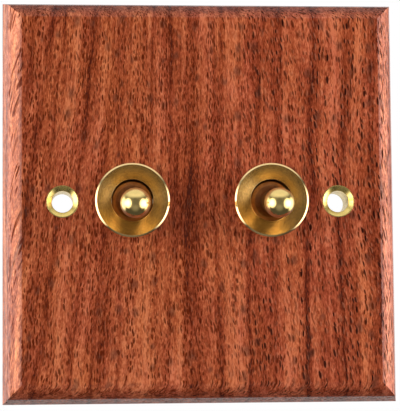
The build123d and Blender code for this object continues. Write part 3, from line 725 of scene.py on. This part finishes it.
def lever(word, side):
    low = -math.sqrt(4.45 ** 2 - 2.6 ** 2)
    rim = math.sqrt(4.45 ** 2 - 4.3 ** 2)
    top = BALL_REACH - math.sqrt(BALL_R ** 2 - 1.9 ** 2)
    outline = [(0.0, -9.6), (1.55, -9.6), (1.66, -9.57), (1.9, -9.3), (1.9, low - 0.5), (2.02, low - 0.38), (2.6, low)]
    outline += arc3((2.6, low), (4.45, 0.0), (4.3, rim), 24)[1:]
    outline += [(4.26, rim + 0.06), (4.18, rim + 0.1), (3.98, rim + 0.16), (3.7, 1.5)]
    outline += arc3((3.7, 1.5), (2.86, 2.25), (2.42, 4.0), 14)[1:]
    outline += [(2.27, 5.3), (2.13, 6.6), (2.0, 7.9), (1.93, 8.7), (1.9, 9.4), (1.9, 11.5), (1.9, top - 0.22)]
    a0 = math.atan2(top - BALL_REACH, 1.9)
    outline += [(1.93, top - 0.08)]
    outline += [(BALL_R * math.cos(a), BALL_REACH + BALL_R * math.sin(a))
                for a in (a0 + 0.03 + (math.pi / 2 - a0 - 0.03) * k / 60 for k in range(60))]
    outline += [(0.0, BALL_REACH + BALL_R)]
    bm = bmesh.new()
    turn(bm, outline, 160, closed=False)
    piece(word + "_dolly_turned", bm, at(side * GANG_X, -FACE, 0) @ Matrix.Rotation(math.radians(90 + LEAN), 4, "X"),
          MATS["brass_polished_" + word], word + "_lever", "brass_polished", word + "_dolly")


def screw_cup(word, side):
    bm = bmesh.new()
    turn(bm, rounded([(2.35, 0.0, 0.1), (2.9, 0.0, 0.06), (2.9, 6.6), (3.5, 7.6), (3.5, 8.8, 0.06), (3.32, 8.8, 0.06),
                      (2.35, 8.06, 0.14)]), 128)
    piece("screw_cup_" + word + "_turned", bm, at(side * FIX_X, 0, 0) @ TO_FRONT, MATS["brass_cup"], "plate", "brass_cup",
          "screw_cup_" + word)


for word, side in (("left", -1), ("right", 1)):
    bezel_ring(word, side)
    lever(word, side)
    screw_cup(word, side)


# ------------------------------------------------------------------ screws
BLOCK_BACK = 22.5


def less_box(bm, width, depth, height, middle):
    """The mesh less one box: a screw's slot."""
    cutter = bmesh.new()
    bmesh.ops.create_cube(cutter, size=1.0, matrix=Matrix.Translation(middle) @ Matrix.Diagonal((width, depth, height, 1.0)))
    objs = []
    for n, b in (("whole", bm), ("slot", cutter)):
        mesh = bpy.data.meshes.new(n)
        b.to_mesh(mesh)
        b.free()
        obj = bpy.data.objects.new(n, mesh)
        scene.collection.objects.link(obj)
        objs.append(obj)
    cut = objs[0].modifiers.new("cut", "BOOLEAN")
    cut.operation, cut.solver, cut.object = "DIFFERENCE", "EXACT", objs[1]
    made = bpy.data.meshes.new_from_object(objs[0].evaluated_get(bpy.context.evaluated_depsgraph_get()))
    out = bmesh.new()
    out.from_mesh(made)
    for obj in objs:
        mesh = obj.data
        bpy.data.objects.remove(obj)
        bpy.data.meshes.remove(mesh)
    bpy.data.meshes.remove(made)
    return out


def thread(bm, r, depth, top, end, pitch, taper=0.0, seg=36):
    """A helical thread about local Z from top down to end, its last part tapered to a point if asked."""
    n = int((top - end) / pitch * 8)
    rings = []
    for i in range(n + 1):
        h = top + (end - top) * i / n
        fade = min(1.0, (top - h) / pitch, (h - end) / (0.6 * pitch) + 0.15)
        slim = 1.0 if not taper or h > end + taper else 0.22 + 0.78 * (h - end) / taper
        rings.append([])
        for k in range(seg):
            phase = (h / pitch + k / seg) % 1.0
            crest = min(1.0, 2.2 * (1 - abs(2 * phase - 1)))
            rr = slim * (r - depth + depth * crest * max(0.0, fade))
            a = 2 * math.pi * k / seg
            rings[-1].append(bm.verts.new((rr * math.cos(a), rr * math.sin(a), h)))
    for a, b in zip(rings, rings[1:]):
        for k in range(seg):
            m = (k + 1) % seg
            bm.faces.new((a[k], b[k], b[m], a[m]))
    bm.faces.new(rings[0])
    bm.faces.new(list(reversed(rings[-1])))


def screw(head_r, head_h, dome, shank_r, length, slot, pitch, taper=0.0):
    """Slotted screw along local Z, seat at 0 and slot on top, in millimetres."""
    bm = bmesh.new()
    rise = dome
    ball = (head_r ** 2 + rise ** 2) / (2 * rise)
    half = math.asin(head_r / ball)
    crown = [(ball * math.sin(half * (1 - k / 10)), head_h - ball + ball * math.cos(half * (1 - k / 10))) for k in range(1, 11)]
    outline = [(0.0, 0.0), (head_r - 0.12, 0.0), (head_r - 0.03, 0.03), (head_r, 0.12), (head_r, head_h - dome - 0.06)] + crown
    turn(bm, outline, 72, closed=False)
    bm = less_box(bm, head_r * 3, 0.7, slot + 0.2, (0, 0, head_h - slot / 2 + 0.1))
    thread(bm, shank_r, 0.2, 0.02, -length, pitch, taper)
    bmesh.ops.recalc_face_normals(bm, faces=bm.faces)
    made = bpy.data.meshes.new("screw")
    bm.to_mesh(made)
    bm.free()
    return made


def screws(name, made, places, slot, *stands_for):
    """One piece of several equal screws, each turned home to its own angle."""
    bm = bmesh.new()
    for k, place in enumerate(places):
        old = len(bm.verts)
        bm.from_mesh(made)
        bm.verts.ensure_lookup_table()
        spin = Matrix.Rotation(math.radians((37 + 61 * k + 23 * len(name)) % 180), 4, "Z")
        bmesh.ops.transform(bm, matrix=place @ spin, verts=bm.verts[old:])
    piece(name, bm, Matrix.Identity(4), MATS[slot], "plate", slot, *stands_for, sharp=32.0)


wood_screw = screw(2.2, 1.4, 0.5, 1.1, 4.2, 0.7, 0.75, taper=1.6)
screws("backing_screws_cut", wood_screw, [at(x, BACKING_REAR, z) @ TO_BACK for x in (-21.5, 21.5) for z in (-25.0, 25.0)],
       "zinc_steel", "backing_screws")
screws("earth_terminal_screw_cut", screw(2.5, 1.6, 0.3, 1.4, 2.3, 0.8, 0.5), [at(0, 5.7, -24.0) @ TO_BACK],
       "zinc_steel", "earth_terminal_screw")
clamp_screw = screw(2.4, 1.6, 0.3, 1.4, 2.5, 0.8, 0.5)
small_screw = screw(2.1, 1.4, 0.5, 1.1, 4.2, 0.7, 0.6)
for word, side in (("left", -1), ("right", 1)):
    x = side * GANG_X
    screws(word + "_terminal_screws_cut", clamp_screw, [at(x, BLOCK_BACK + 0.7, z) @ TO_BACK for z in (12.0, 0.0, -12.0)],
           "zinc_steel", word + "_terminal_screws")
    screws(word + "_frame_screws_cut", small_screw,
           [at(x, 6.0, 20.0), at(x, 6.0, -20.0) @ Matrix.Rotation(math.pi, 4, "X")],
           "zinc_steel", word + "_frame_screws")
for made in (wood_screw, clamp_screw, small_screw):
    bpy.data.meshes.remove(made)


# ------------------------------------------------------------------ edges of the other pieces
def soften(name, width, angle=40.0):
    """A small round on a piece's sharp edges."""
    obj = nodes[name]
    weld = obj.modifiers.new("weld", "WELD")
    weld.merge_threshold = 2e-6
    bevel = obj.modifiers.new("edges", "BEVEL")
    bevel.width = width * 0.001
    bevel.segments = 2
    bevel.limit_method = "ANGLE"
    bevel.angle_limit = math.radians(angle)
    bevel.use_clamp_overlap = True
    normals = obj.modifiers.new("normals", "WEIGHTED_NORMAL")
    normals.keep_sharp = False
    normals.weight = 60


for word in ("left", "right"):
    for name, width in (("housing", 0.22), ("frame", 0.12), ("common_terminal", 0.12), ("upper_terminal", 0.12),
                        ("lower_terminal", 0.12), ("rocker", 0.08)):
        soften(word + "_" + name, width)
soften("backing_plate", 0.12)
soften("earth_terminal", 0.12)


# ------------------------------------------------------------------ floor
def floor():
    mesh = bpy.data.meshes.new("floor")
    s, z = 3.0, -0.16
    mesh.from_pydata([(-s, -s, z), (s, -s, z), (s, s, z), (-s, s, z)], [], [(0, 1, 2, 3)])
    obj = bpy.data.objects.new("floor", mesh)
    scene.collection.objects.link(obj)
    t = Tree("floor_pale")
    n = t.noise(t.P, 0.02, 3.0, 0.5)
    t.set(base=t.mix(n, (0.90, 0.90, 0.89), (0.86, 0.86, 0.85)), rough=0.7)
    dress(obj, t.mat)
    obj.visible_glossy = False


floor()
